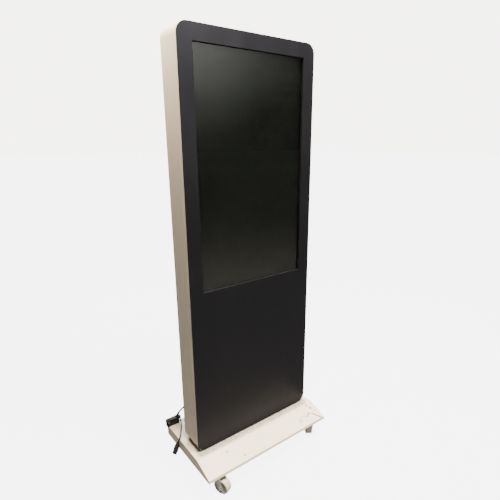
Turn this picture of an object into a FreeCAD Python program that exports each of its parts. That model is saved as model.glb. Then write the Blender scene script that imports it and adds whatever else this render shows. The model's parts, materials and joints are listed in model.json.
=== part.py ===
import FreeCAD, Part
import math
import os

# Floor-standing touchscreen kiosk on casters, in millimetres.
# Origin: on the floor, below the centre of the base. X runs to the right along the
# screen, Y runs to the back, Z runs up. The screen faces -Y.

Vector = FreeCAD.Vector
X_AXIS = Vector(1, 0, 0)
Y_AXIS = Vector(0, 1, 0)
Z_AXIS = Vector(0, 0, 1)

# ---- Driving dimensions ----

# 43-inch display, hung in portrait
SCREEN_WIDTH = 529.4
SCREEN_HEIGHT = 941.2

# Black front panel and the cabinet behind it
PANEL_WIDTH = 654.0
PANEL_HEIGHT = 1765.0
PANEL_THICKNESS = 2.0
CORNER_RADIUS = 42.0
CABINET_DEPTH = 127.0
SCREEN_TOP_MARGIN = 61.0
SHEET = 1.5
FIT_GAP = 0.3

# Folded plinth
BASE_WIDTH = 706.0
BASE_DEPTH = 406.0
BASE_TOP = 152.0
BASE_SHEET = 2.0
FRONT_STRIP = 33.0
SLOPE_RUN = 102.0
SLOPE_DROP = 36.0
LIP_HEIGHT = 15.0
CABINET_GAP = 6.0

# 75 mm swivel casters
WHEEL_RADIUS = 37.5
TYRE_WIDTH = 35.0
CASTER_HEIGHT = 104.0
CASTER_TRAIL = 28.0
CASTER_INSET_X = 67.0
CASTER_INSET_Y = 44.5
FRONT_LEFT_HEADING = 23.5
FRONT_RIGHT_HEADING = 142.0
REAR_HEADING = 191.0
HUB_RADIUS = 31.0
AXLE_RADIUS = 6.0
BEARING_GAP = 0.05
PEDAL_REACH = 62.638

# Holes in the base plate for levelling feet
FOOT_HOLE_RADIUS = 5.25
FOOT_HOLE_X = 200.0
FOOT_HOLE_Y = 150.0

# Rear opening, door and covers
FLANGE_WIDTH = 30.5
TRANSOM_HEIGHT = 40.0
DOOR_BOTTOM = 420.0
DOOR_TOP = 1000.0
DOOR_OVERLAP = 6.5
DOOR_RETURN = 10.0

# Power adapter and its two cords
SUPPLY_DIAMETER = 8.0
INLET_DIAMETER = 6.5
ADAPTER_LENGTH = 66.0
ADAPTER_DEPTH = 23.0
ADAPTER_HEIGHT = 36.0
ADAPTER_OVERHANG = 8.0
SUPPLY_EXIT_Z = 358.0

# ---- Derived places ----

HALF_WIDTH = PANEL_WIDTH / 2
BASE_FRONT = -BASE_DEPTH / 2
BASE_REAR = BASE_DEPTH / 2
FRONT = BASE_FRONT + SLOPE_RUN + FRONT_STRIP
REAR = FRONT + CABINET_DEPTH
BOTTOM = BASE_TOP + CABINET_GAP
TOP = BOTTOM + PANEL_HEIGHT
SCREEN_TOP = TOP - SCREEN_TOP_MARGIN
SCREEN_BOTTOM = SCREEN_TOP - SCREEN_HEIGHT
SCREEN_CENTRE = (SCREEN_TOP + SCREEN_BOTTOM) / 2

FRAME_DEPTH = 12.0
FRAME_REAR = FRONT + PANEL_THICKNESS + FRAME_DEPTH
SENSOR_DEPTH = 7.0
GLASS_FRONT = FRONT + PANEL_THICKNESS + SENSOR_DEPTH
GLASS_THICKNESS = 4.0
GASKET_THICKNESS = 2.0
GLASS_MARGIN = 23.0
LCD_FRONT = GLASS_FRONT + GLASS_THICKNESS + GASKET_THICKNESS
LCD_MARGIN = 14.0
LCD_DEPTH = 17.0
LCD_REAR = LCD_FRONT + LCD_DEPTH

SKIN_OUTER = REAR - 0.4
SKIN_INNER = SKIN_OUTER - SHEET
OPENING_HALF = HALF_WIDTH - SHEET - FLANGE_WIDTH
DOOR_HALF = OPENING_HALF + DOOR_OVERLAP

PLATE_THICKNESS = 3.0
PLATE_TOP = CASTER_HEIGHT + PLATE_THICKNESS
CASTER_X = BASE_WIDTH / 2 - CASTER_INSET_X
CASTER_Y = BASE_DEPTH / 2 - CASTER_INSET_Y
RAIL_X = 250.0

HINGE_X = DOOR_HALF + 2.5
HINGE_RADIUS = 4.0
HINGE_Y = SKIN_OUTER + HINGE_RADIUS
HINGE_HEIGHTS = (DOOR_BOTTOM + 100.0, DOOR_TOP - 100.0)
LOCK_X = -OPENING_HALF + 28.0
LOCK_Z = (DOOR_BOTTOM + DOOR_TOP) / 2

FAN_SIZE = 80.0
FAN_DEPTH = 25.0
FAN_X = 60.0
FAN_Z = TOP - 140.0
FAN_REAR = SKIN_INNER

SUPPLY_X = -250.0
SWITCH_X = -185.0

ADAPTER_LEFT = -BASE_WIDTH / 2 - ADAPTER_OVERHANG
ADAPTER_RIGHT = ADAPTER_LEFT + ADAPTER_LENGTH
ADAPTER_REAR = BASE_REAR
ADAPTER_FRONT = ADAPTER_REAR - ADAPTER_DEPTH

# Cord centre lines, from the piece each cord leaves to the piece it enters
SUPPLY_ROUTE = [
    (SUPPLY_X, REAR + 26.0, SUPPLY_EXIT_Z),
    (SUPPLY_X, REAR + 58.0, SUPPLY_EXIT_Z),
    (-247.0, 150.0, 333.0),
    (-243.0, 177.0, 292.0),
    (-243.0, 190.0, 254.0),
    (-251.3, 193.8, 232.9),
    (-266.1, 191.4, 220.8),
    (-284.5, 190.9, 214.1),
    (-292.3, 191.0, 203.8),
]
INLET_ROUTE = [
    (-290.5, 183.5, 172.5),
    (-291.9, 174.7, 161.2),
    (-293.9, 163.0, 156.5),
    (-301.6, 149.3, 156.1),
    (-313.1, 128.4, 156.5),
    (-327.4, 105.5, 156.6),
    (-337.3, 88.5, 158.5),
    (-345.1, 71.8, 167.1),
    (-357.1, 63.1, 160.4),
    (-362.4, 63.1, 148.2),
]

os.makedirs("parts", exist_ok=True)


# ---- Shape helpers ----

def save(name, shape):
    """Write one piece as its own STEP file."""
    shape.exportStep("parts/" + name + ".step")


def block(x_low, x_high, y_low, y_high, z_low, z_high):
    """Box between two corners."""
    return Part.makeBox(x_high - x_low, y_high - y_low, z_high - z_low, Vector(x_low, y_low, z_low))


def rod(radius, length, start, direction):
    """Cylinder from a start point along a direction."""
    return Part.makeCylinder(radius, length, Vector(*start), direction)


def joined(shapes):
    """One solid from touching or overlapping shapes."""
    first = shapes[0]
    return first.fuse(shapes[1:]).removeSplitter()


def slab(half_width, z_low, z_high, y_low, y_high, radius):
    """Upright plate with rounded corners, centred on X."""
    plate = block(-half_width, half_width, y_low, y_high, z_low, z_high)
    corners = [edge for edge in plate.Edges
               if abs(edge.tangentAt(edge.FirstParameter).y) > 0.9]
    return plate.makeFillet(radius, corners)


def ring(half_width, z_low, z_high, y_low, y_high, radius, border):
    """Upright rectangular ring of even border width."""
    outer = slab(half_width, z_low, z_high, y_low, y_high, radius)
    inner_radius = max(radius - border, 1.0)
    inner = slab(half_width - border, z_low + border, z_high - border,
                 y_low - 1.0, y_high + 1.0, inner_radius)
    return outer.cut(inner)


def prism_along_x(points, x_low, x_high):
    """Solid from a (y, z) outline drawn out along X."""
    corners = [Vector(x_low, y, z) for y, z in points]
    outline = Part.makePolygon(corners + corners[:1])
    return Part.Face(outline).extrude(Vector(x_high - x_low, 0, 0))


def hexagon(across_flats, length, start, direction):
    """Hexagonal nut or bolt head."""
    radius = across_flats / math.sqrt(3)
    corners = [Vector(radius * math.cos(math.radians(60 * turn)),
                      radius * math.sin(math.radians(60 * turn)), 0) for turn in range(6)]
    solid = Part.Face(Part.makePolygon(corners + corners[:1])).extrude(Vector(0, 0, length))
    solid.Placement = FreeCAD.Placement(Vector(*start), FreeCAD.Rotation(Z_AXIS, direction))
    return solid


def slot_rows(x_centre, z_low, rows, pitch, length, height, y_low, y_high):
    """Rows of level ventilation slots, as cutting blocks."""
    return [block(x_centre - length / 2, x_centre + length / 2, y_low, y_high,
                  z_low + row * pitch, z_low + row * pitch + height) for row in range(rows)]


def swept_cord(route, diameter):
    """Round cord along straight runs joined by tangent arcs; also gives radii and length."""
    points = [Vector(*point) for point in route]
    edges = []
    radii = []
    start = points[0]
    for before, corner, after in zip(points, points[1:], points[2:]):
        arriving = corner.sub(before)
        leaving = after.sub(corner)
        turn = arriving.getAngle(leaving)
        setback = 0.45 * min(arriving.Length, leaving.Length)
        radii.append(setback / math.tan(turn / 2))
        arriving.normalize()
        leaving.normalize()
        arc_start = corner.sub(arriving.multiply(setback))
        arc_end = corner.add(leaving.multiply(setback))
        inward = arc_start.add(arc_end).multiply(0.5).sub(corner)
        inward.normalize()
        to_centre = radii[-1] / math.cos(turn / 2)
        middle = corner.add(inward.multiply(to_centre - radii[-1]))
        edges.append(Part.makeLine(start, arc_start))
        edges.append(Part.Arc(arc_start, middle, arc_end).toShape())
        start = arc_end
    edges.append(Part.makeLine(start, points[-1]))
    spine = Part.Wire(edges)
    first_run = points[1].sub(points[0])
    section = Part.Wire(Part.makeCircle(diameter / 2, points[0], first_run))
    tube = spine.makePipeShell([section], True, True)
    return tube, radii, spine.Length


# ---- Base ----

def base_profile(inset, bottom):
    """Side outline of the plinth: lip, slope, flat top and upright back."""
    slope = math.atan2(SLOPE_DROP, SLOPE_RUN)
    slope_shift = inset * math.tan(slope / 2)
    lip_shift = inset * math.tan((math.pi / 2 - slope) / 2)
    crease = FRONT - FRONT_STRIP
    return [
        (BASE_FRONT + inset, bottom),
        (BASE_FRONT + inset, BASE_TOP - SLOPE_DROP - lip_shift),
        (crease + slope_shift, BASE_TOP - inset),
        (BASE_REAR - inset, BASE_TOP - inset),
        (BASE_REAR - inset, bottom),
    ]


def base_bolt_places():
    """Four bolts that hold the cabinet down on the base rails."""
    return [(side * RAIL_X, FRONT + depth) for side in (-1, 1) for depth in (32.0, 98.0)]


def build_base():
    half = BASE_WIDTH / 2
    lip_bottom = BASE_TOP - SLOPE_DROP - LIP_HEIGHT
    outside = prism_along_x(base_profile(0, lip_bottom), -half, half)
    inside = prism_along_x(base_profile(BASE_SHEET, lip_bottom - 1), -half + BASE_SHEET, half - BASE_SHEET)
    cover = outside.cut(inside)
    rails = []
    rail_bottom = PLATE_TOP
    rail_top = BASE_TOP - BASE_SHEET
    for side in (-1, 1):
        channel = block(side * RAIL_X - 25, side * RAIL_X + 25, FRONT - 30, BASE_REAR - 8,
                        rail_bottom, rail_top)
        hollow = block(side * RAIL_X - 22.5, side * RAIL_X + 22.5, FRONT - 31, BASE_REAR - 7,
                       rail_bottom - 1, rail_top - 2.5)
        rails.append(channel.cut(hollow))
    plate_gap = BASE_SHEET + 1.0
    plate = block(-half + plate_gap, half - plate_gap, BASE_FRONT + plate_gap, BASE_REAR - plate_gap,
                  CASTER_HEIGHT, PLATE_TOP)
    foot = block(-HALF_WIDTH + 15, HALF_WIDTH - 15, FRONT + 12, REAR - 7, BASE_TOP, BOTTOM)
    bolts = []
    for x, y in base_bolt_places():
        hole = rod(4.2, 80, (x, y, PLATE_TOP + 1), Z_AXIS)
        cover = cover.cut(hole)
        foot = foot.cut(hole)
        rails = [rail.cut(hole) for rail in rails]
        shank = rod(4.0, BOTTOM + SHEET - rail_top + 12, (x, y, rail_top - 12), Z_AXIS)
        head = hexagon(13, 5.3, (x, y, BOTTOM + SHEET), Z_AXIS)
        nut = hexagon(13, 6.5, (x, y, rail_top - 9), Z_AXIS)
        bolts.append(joined([shank, head, nut]))
    for x, y in caster_bolt_places():
        hole = rod(3.2, PLATE_THICKNESS + 2, (x, y, CASTER_HEIGHT - 1), Z_AXIS)
        plate = plate.cut(hole)
    for x in (-FOOT_HOLE_X, FOOT_HOLE_X):
        for y in (-FOOT_HOLE_Y, FOOT_HOLE_Y):
            plate = plate.cut(rod(FOOT_HOLE_RADIUS, PLATE_THICKNESS + 2, (x, y, CASTER_HEIGHT - 1), Z_AXIS))
    save("base_cover", cover)
    save("base_plate", plate)
    save("base_rails", Part.makeCompound(rails))
    save("foot_plate", foot)
    save("base_bolts", Part.makeCompound(bolts))


# ---- Casters ----

def caster_places():
    """Name, swivel axis, resting heading and whether it has a brake."""
    return [
        ("front_left", -CASTER_X, -CASTER_Y, FRONT_LEFT_HEADING, False),
        ("front_right", CASTER_X, -CASTER_Y, FRONT_RIGHT_HEADING, False),
        ("rear_left", -CASTER_X, CASTER_Y, REAR_HEADING, True),
        ("rear_right", CASTER_X, CASTER_Y, REAR_HEADING, True),
    ]


def caster_bolt_places():
    """Sixteen bolts, four through each caster's top plate."""
    return [(x + across * 37.5, y + along * 22.5) for _, x, y, _, _ in caster_places()
            for across in (-1, 1) for along in (-1, 1)]


def caster_top_plate(x, y):
    """Fixed plate with its ball race and the king pin that the fork turns on."""
    plate_bottom = CASTER_HEIGHT - 2.5
    race_bottom = plate_bottom - 4.5
    plate = block(x - 47.5, x + 47.5, y - 32.5, y + 32.5, plate_bottom, CASTER_HEIGHT)
    upright_edges = [edge for edge in plate.Edges if abs(edge.tangentAt(edge.FirstParameter).z) > 0.9]
    plate = plate.makeFillet(5, upright_edges)
    for across in (-1, 1):
        for along in (-1, 1):
            plate = plate.cut(rod(3.2, 6, (x + across * 37.5, y + along * 22.5, plate_bottom - 1), Z_AXIS))
    race = rod(23, 4.5, (x, y, race_bottom), Z_AXIS)
    pin = rod(AXLE_RADIUS, race_bottom - 84, (x, y, 84), Z_AXIS)
    head = rod(9, 4, (x, y, 83.4), Z_AXIS)
    return joined([plate, race, pin, head])


def fork_leg(side, braked):
    """One leg of the fork, from the crown down to the axle."""
    inner = TYRE_WIDTH / 2 + 1.3
    x_low = inner if side > 0 else -inner - 2.5
    pad_radius = 15
    pad = rod(pad_radius, 2.5, (x_low, -CASTER_TRAIL, WHEEL_RADIUS), X_AXIS)
    web = prism_along_x([(19, 92), (-25, 92), (-CASTER_TRAIL - pad_radius, WHEEL_RADIUS),
                         (-CASTER_TRAIL + pad_radius, WHEEL_RADIUS)], x_low, x_low + 2.5)
    pieces = [pad, web]
    if braked:
        pieces.append(rod(7, 2.5, (x_low, -36, 84), X_AXIS))
        pieces.append(block(x_low, x_low + 2.5, -36, -20, 77, 91))
    return joined(pieces)


def caster_fork(braked):
    """Pressed fork with its riveted axle, in caster coordinates."""
    crown = Part.makeCone(26, 22, 8.6, Vector(0, 0, 88), Z_AXIS)
    half_span = TYRE_WIDTH / 2 + 3.8
    axle = rod(AXLE_RADIUS, 2 * half_span, (-half_span, -CASTER_TRAIL, WHEEL_RADIUS), X_AXIS)
    rivets = [rod(8.5, 2, (side * (half_span + 1) - 1, -CASTER_TRAIL, WHEEL_RADIUS), X_AXIS)
              for side in (-1, 1)]
    pieces = [crown, fork_leg(-1, braked), fork_leg(1, braked), axle] + rivets
    if braked:
        pieces.append(rod(3, 2 * half_span, (-half_span, -36, 84), X_AXIS))
    fork = joined(pieces)
    return fork.cut(rod(AXLE_RADIUS + BEARING_GAP, 12, (0, 0, 87), Z_AXIS))


def wheel_hub():
    """Moulded wheel centre with a bore for the axle."""
    centre = (-CASTER_TRAIL, WHEEL_RADIUS)
    width = TYRE_WIDTH - 5
    rim = rod(HUB_RADIUS, width, (-width / 2, *centre), X_AXIS)
    boss_width = TYRE_WIDTH + 1.6
    boss = rod(10, boss_width, (-boss_width / 2, *centre), X_AXIS)
    dishes = [rod(HUB_RADIUS - 4, 5, (side * (width / 2 - 2.5) - 2.5, *centre), X_AXIS).cut(
              rod(11.5, 6, (side * (width / 2 - 2.5) - 3, *centre), X_AXIS)) for side in (-1, 1)]
    hub = joined([rim, boss])
    for dish in dishes:
        hub = hub.cut(dish)
    return hub.cut(rod(AXLE_RADIUS + BEARING_GAP, 60, (-30, *centre), X_AXIS))


def wheel_tyre():
    """Soft tyre with rounded shoulders and a centre groove."""
    centre = (-CASTER_TRAIL, WHEEL_RADIUS)
    tread = rod(WHEEL_RADIUS, TYRE_WIDTH, (-TYRE_WIDTH / 2, *centre), X_AXIS)
    rims = [edge for edge in tread.Edges if isinstance(edge.Curve, Part.Circle)]
    tread = tread.makeFillet(6, rims)
    groove = rod(WHEEL_RADIUS + 1, 2, (-1, *centre), X_AXIS).cut(
        rod(WHEEL_RADIUS - 1.5, 4, (-2, *centre), X_AXIS))
    return tread.cut(groove).cut(rod(HUB_RADIUS, 60, (-30, *centre), X_AXIS))


def brake_pedal():
    """Foot pedal whose cam presses on the tyre when it is pushed down."""
    pivot = (-36, 84)
    half = TYRE_WIDTH / 2
    sleeve = rod(6, 2 * half, (-half, *pivot), X_AXIS)
    lever = prism_along_x([(-36, 90), (-44, 92), (-PEDAL_REACH, 87), (-PEDAL_REACH, 84), (-44, 88.5),
                           (-40, 80)], -half, half)
    cam = prism_along_x([(-41, 84), (-40.5, 77), (-37.5, 75.6), (-34, 79)], -half + 2, half - 2)
    return joined([sleeve, lever, cam]).cut(rod(3 + BEARING_GAP, 60, (-30, *pivot), X_AXIS))


def placed_caster_piece(shape, x, y, heading):
    """Turn a piece to the caster's heading and move it to the swivel axis."""
    placed = shape.copy()
    placed.rotate(Vector(0, 0, 0), Z_AXIS, heading)
    placed.translate(Vector(x, y, 0))
    return placed


def build_casters():
    plates = []
    for name, x, y, heading, braked in caster_places():
        plates.append(caster_top_plate(x, y))
        save("caster_fork_" + name, placed_caster_piece(caster_fork(braked), x, y, heading))
        save("caster_hub_" + name, placed_caster_piece(wheel_hub(), x, y, heading))
        save("caster_tyre_" + name, placed_caster_piece(wheel_tyre(), x, y, heading))
        if braked:
            save("brake_pedal_" + name, placed_caster_piece(brake_pedal(), x, y, heading))
    bolts = []
    for x, y in caster_bolt_places():
        shank = rod(3, 14, (x, y, CASTER_HEIGHT - 3.5), Z_AXIS)
        head = hexagon(10, 4, (x, y, CASTER_HEIGHT - 6.5), Z_AXIS)
        nut = hexagon(10, 5, (x, y, PLATE_TOP), Z_AXIS)
        bolts.append(joined([shank, head, nut]))
    save("caster_plates", Part.makeCompound(plates))
    save("caster_bolts", Part.makeCompound(bolts))


# ---- Cabinet ----

def build_cabinet():
    walls = ring(HALF_WIDTH, BOTTOM, TOP, FRAME_REAR, REAR, CORNER_RADIUS, SHEET)
    flange_outer = slab(HALF_WIDTH - SHEET / 2, BOTTOM + SHEET / 2, TOP - SHEET / 2,
                        SKIN_INNER - SHEET, SKIN_INNER, CORNER_RADIUS - SHEET / 2)
    opening = slab(OPENING_HALF, BOTTOM + SHEET + FLANGE_WIDTH, TOP - SHEET - FLANGE_WIDTH,
                   SKIN_INNER - SHEET - 1, SKIN_INNER + 1, 12)
    shell = joined([walls, flange_outer.cut(opening)])
    for x, y in base_bolt_places():
        shell = shell.cut(rod(4.2, 20, (x, y, BOTTOM - 5), Z_AXIS))
    transoms = [block(-OPENING_HALF, OPENING_HALF, SKIN_INNER - SHEET, SKIN_INNER,
                      middle - TRANSOM_HEIGHT / 2, middle + TRANSOM_HEIGHT / 2)
                for middle in (DOOR_BOTTOM, DOOR_TOP)]
    uprights = []
    for side in (-1, 1):
        web_x = side * (HALF_WIDTH - SHEET)
        inner_x = side * (HALF_WIDTH - SHEET - 25)
        x_low, x_high = sorted((web_x, inner_x))
        post = block(x_low, x_high, FRAME_REAR + 6, FRAME_REAR + 40, BOTTOM + 45, TOP - 45)
        core = block(x_low + 2, x_high - 2, FRAME_REAR + 8, FRAME_REAR + 41, BOTTOM + 44, TOP - 44)
        uprights.append(post.cut(core))
    save("cabinet_shell", shell)
    save("rear_transoms", Part.makeCompound(transoms))
    save("inner_uprights", Part.makeCompound(uprights))


def build_front():
    opening_gap = 0.8
    panel = slab(HALF_WIDTH, BOTTOM, TOP, FRONT, FRONT + PANEL_THICKNESS, CORNER_RADIUS)
    window = slab(SCREEN_WIDTH / 2 + opening_gap, SCREEN_BOTTOM - opening_gap, SCREEN_TOP + opening_gap,
                  FRONT - 1, FRONT + PANEL_THICKNESS + 1, 1.0)
    edge_wall = ring(HALF_WIDTH - 0.5, BOTTOM + 0.5, TOP - 0.5, FRONT + PANEL_THICKNESS, FRAME_REAR,
                     CORNER_RADIUS - 0.5, 2.0)
    edge_flange = ring(HALF_WIDTH - 0.5, BOTTOM + 0.5, TOP - 0.5, FRONT + PANEL_THICKNESS,
                       FRONT + PANEL_THICKNESS + 2, CORNER_RADIUS - 0.5, 20.0)
    save("front_panel", panel.cut(window))
    save("front_frame", joined([edge_wall, edge_flange]))


def build_display():
    glass_half = SCREEN_WIDTH / 2 + GLASS_MARGIN
    glass_low = SCREEN_BOTTOM - GLASS_MARGIN
    glass_high = SCREEN_TOP + GLASS_MARGIN
    lcd_half = SCREEN_WIDTH / 2 + LCD_MARGIN
    lcd_low = SCREEN_BOTTOM - LCD_MARGIN
    lcd_high = SCREEN_TOP + LCD_MARGIN
    glass_rear = GLASS_FRONT + GLASS_THICKNESS
    sensor = ring(glass_half, glass_low, glass_high, FRONT + PANEL_THICKNESS, GLASS_FRONT, 2,
                  GLASS_MARGIN - 1.0)
    glass = slab(glass_half, glass_low, glass_high, GLASS_FRONT, glass_rear, 2)
    gasket = ring(glass_half, glass_low, glass_high, glass_rear, LCD_FRONT, 2, GLASS_MARGIN - 4)
    bezel_face = ring(lcd_half, lcd_low, lcd_high, LCD_FRONT, LCD_FRONT + 1, 2, LCD_MARGIN - 3)
    bezel_side = ring(lcd_half, lcd_low, lcd_high, LCD_FRONT, LCD_REAR, 2, 1.0)
    cell = slab(lcd_half - 1.5, lcd_low + 1.5, lcd_high - 1.5, LCD_FRONT + 1, LCD_FRONT + 4, 2)
    tray = slab(lcd_half - 1.5, lcd_low + 1.5, lcd_high - 1.5, LCD_FRONT + 4, LCD_REAR - 1, 2)
    tray = tray.cut(slab(lcd_half - 2.7, lcd_low + 2.7, lcd_high - 2.7, LCD_FRONT + 3, LCD_REAR - 2.2, 1))
    bar_half = HALF_WIDTH - SHEET - 25
    crossbars = []
    for offset in (-300.0, 300.0):
        middle = SCREEN_CENTRE + offset
        bar = block(-bar_half, bar_half, LCD_REAR - 1, LCD_REAR + 8, middle - 20, middle + 20)
        groove = block(-bar_half - 1, bar_half + 1, LCD_REAR + 1, LCD_REAR + 9, middle - 18, middle + 18)
        bridge = bar.cut(groove)
        crossbars.append(bridge.cut(bezel_side))
    board = block(-110, 110, LCD_REAR - 1, LCD_REAR + 3, SCREEN_CENTRE - 60, SCREEN_CENTRE + 60)
    chips = [block(-90, -40, LCD_REAR + 3, LCD_REAR + 12, SCREEN_CENTRE - 40, SCREEN_CENTRE + 10),
             block(10, 50, LCD_REAR + 3, LCD_REAR + 8, SCREEN_CENTRE - 20, SCREEN_CENTRE + 20),
             block(70, 100, LCD_REAR + 3, LCD_REAR + 15, SCREEN_CENTRE - 55, SCREEN_CENTRE + 45)]
    save("touch_sensor_frame", sensor)
    save("touch_glass", glass)
    save("glass_gasket", gasket)
    save("lcd_bezel", joined([bezel_face, bezel_side]))
    save("lcd_cell", cell)
    save("backlight_tray", tray)
    save("display_crossbars", Part.makeCompound(crossbars))
    save("display_controller_board", joined([board] + chips))


def build_electronics():
    plate_y = FRAME_REAR + 24
    plate = block(-270, 270, plate_y, plate_y + SHEET, BOTTOM + 45, SCREEN_BOTTOM - 45)
    ears = [block(min(side * 270, side * 300.5), max(side * 270, side * 300.5), plate_y, plate_y + SHEET,
                  BOTTOM + 45 + low, BOTTOM + 85 + low) for side in (-1, 1) for low in (40, 440)]
    device_y = plate_y + SHEET
    player = block(-230, -30, device_y, device_y + 38, 600, 750)
    fins = [block(-220 + step * 10, -217 + step * 10, device_y + 34, device_y + 39, 605, 745)
            for step in range(19)]
    supply = block(20, 235, device_y, device_y + 30, 600, 715)
    terminals = block(30, 120, device_y, device_y + 18, 715, 733)
    speakers = []
    for side in (-1, 1):
        box = block(side * 165 - 60, side * 165 + 60, SKIN_INNER - 45, SKIN_INNER, 1045, 1105)
        cone = Part.makeCone(12, 24, 8, Vector(side * 165, SKIN_INNER - 8, 1075), Y_AXIS)
        speakers.append(box.cut(cone))
    save("equipment_plate", joined([plate] + ears))
    save("media_player", player.cut(Part.makeCompound(fins)))
    save("power_supply", joined([supply, terminals]))
    save("speakers", Part.makeCompound(speakers))


def fan_housing(x):
    """Square fan frame with struts and a bearing post."""
    half = FAN_SIZE / 2
    front = FAN_REAR - FAN_DEPTH
    frame = block(x - half, x + half, front, FAN_REAR, FAN_Z - half, FAN_Z + half)
    frame = frame.cut(rod(38, FAN_DEPTH + 2, (x, front - 1, FAN_Z), Y_AXIS))
    motor = rod(15, 4, (x, front, FAN_Z), Y_AXIS)
    post = rod(3, 20, (x, front, FAN_Z), Y_AXIS)
    struts = [block(x - 39, x + 39, front, front + 3, FAN_Z - 2, FAN_Z + 2),
              block(x - 2, x + 2, front, front + 3, FAN_Z - 39, FAN_Z + 39)]
    return joined([frame, motor, post] + struts)


def fan_rotor(x):
    """Fan hub with seven pitched blades."""
    front = FAN_REAR - FAN_DEPTH + 4.5
    hub = rod(15, 17.5, (x, front, FAN_Z), Y_AXIS)
    blades = []
    for turn in range(7):
        blade = block(-8, 8, -0.8, 0.8, 12, 36.2)
        blade.rotate(Vector(0, 0, 0), Z_AXIS, 35)
        blade.translate(Vector(0, front + 9, 0))
        blade.rotate(Vector(0, 0, 0), Y_AXIS, turn * 360.0 / 7)
        blade.translate(Vector(x, 0, FAN_Z))
        blades.append(blade)
    bore = rod(3 + BEARING_GAP, 30, (x, front - 5, FAN_Z), Y_AXIS)
    return joined([hub] + blades).cut(bore)


def build_fans():
    save("fan_housings", Part.makeCompound([fan_housing(-FAN_X), fan_housing(FAN_X)]))
    save("fan_rotor_left", fan_rotor(-FAN_X))
    save("fan_rotor_right", fan_rotor(FAN_X))


# ---- Rear covers, door, lock and hinges ----

def cover_screw_places():
    """Pan-head screws round the two fixed rear covers."""
    side_x = HALF_WIDTH - 16
    lower = [(side * side_x, z) for side in (-1, 1) for z in (BOTTOM + 50, DOOR_BOTTOM - 20)]
    upper = [(side * side_x, DOOR_TOP + 20 + step * 210) for side in (-1, 1) for step in range(5)]
    edge = [(x, z) for x in (-180, 0, 180) for z in (BOTTOM + 16, TOP - 16)]
    return lower + upper + edge


def build_rear_covers():
    cover_half = HALF_WIDTH - SHEET - FIT_GAP
    radius = CORNER_RADIUS - SHEET - FIT_GAP
    full = slab(cover_half, BOTTOM + SHEET + FIT_GAP, TOP - SHEET - FIT_GAP, SKIN_INNER, SKIN_OUTER, radius)
    upper_zone = block(-400, 400, SKIN_INNER - 1, SKIN_OUTER + 1, DOOR_TOP + 2, TOP + 10)
    lower_zone = block(-400, 400, SKIN_INNER - 1, SKIN_OUTER + 1, BOTTOM - 10, DOOR_BOTTOM - 2)
    upper = full.common(upper_zone)
    lower = full.common(lower_zone)
    cut_low = SKIN_INNER - 1
    cut_high = SKIN_OUTER + 1
    vents = []
    for side in (-1, 1):
        vents += slot_rows(side * FAN_X, FAN_Z - 30, 8, 8, 66, 3, cut_low, cut_high)
        vents += slot_rows(side * 165, 1057, 6, 7, 50, 2.5, cut_low, cut_high)
    for column in (-150, 0, 150):
        vents += slot_rows(column, 1300, 12, 10, 110, 3, cut_low, cut_high)
    screws = []
    for x, z in cover_screw_places():
        hole = rod(2.2, 4, (x, SKIN_INNER - 1, z), Y_AXIS)
        upper = upper.cut(hole)
        lower = lower.cut(hole)
        shank = rod(2.0, SHEET, (x, SKIN_INNER, z), Y_AXIS)
        head = Part.makeCone(3.8, 2.6, 2.2, Vector(x, SKIN_OUTER, z), Y_AXIS)
        screws.append(joined([shank, head]))
    lower = lower.cut(rod(8.1, 4, (SUPPLY_X, SKIN_INNER - 1, SUPPLY_EXIT_Z), Y_AXIS))
    lower = lower.cut(block(SWITCH_X - 10, SWITCH_X + 10, cut_low, cut_high,
                            SUPPLY_EXIT_Z - 14, SUPPLY_EXIT_Z + 14))
    low_vents = slot_rows(60, 230, 8, 10, 200, 3, cut_low, cut_high)
    save("rear_upper_cover", upper.cut(Part.makeCompound(vents)))
    save("rear_lower_cover", lower.cut(Part.makeCompound(low_vents)))
    save("rear_cover_screws", Part.makeCompound(screws))


def build_door():
    skin = block(-DOOR_HALF, DOOR_HALF, SKIN_INNER, SKIN_OUTER, DOOR_BOTTOM + 2, DOOR_TOP - 2)
    edge_half = OPENING_HALF - 2.5
    edge_low = DOOR_BOTTOM + TRANSOM_HEIGHT / 2 + 2.5
    edge_high = DOOR_TOP - TRANSOM_HEIGHT / 2 - 2.5
    returns = ring(edge_half, edge_low, edge_high, SKIN_INNER - DOOR_RETURN, SKIN_INNER, 2, SHEET)
    door = joined([skin, returns])
    notch = block(-edge_half - 2, -edge_half + 3, SKIN_INNER - DOOR_RETURN - 1, SKIN_INNER - 1.5,
                  LOCK_Z - 40, LOCK_Z + 12)
    door = door.cut(notch)
    door = door.cut(rod(9.6, 6, (LOCK_X, SKIN_INNER - 2, LOCK_Z), Y_AXIS))
    vents = slot_rows(0, DOOR_TOP - 130, 8, 10, 260, 3, SKIN_INNER - 1, SKIN_OUTER + 1)
    save("rear_door", door.cut(Part.makeCompound(vents)))


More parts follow.
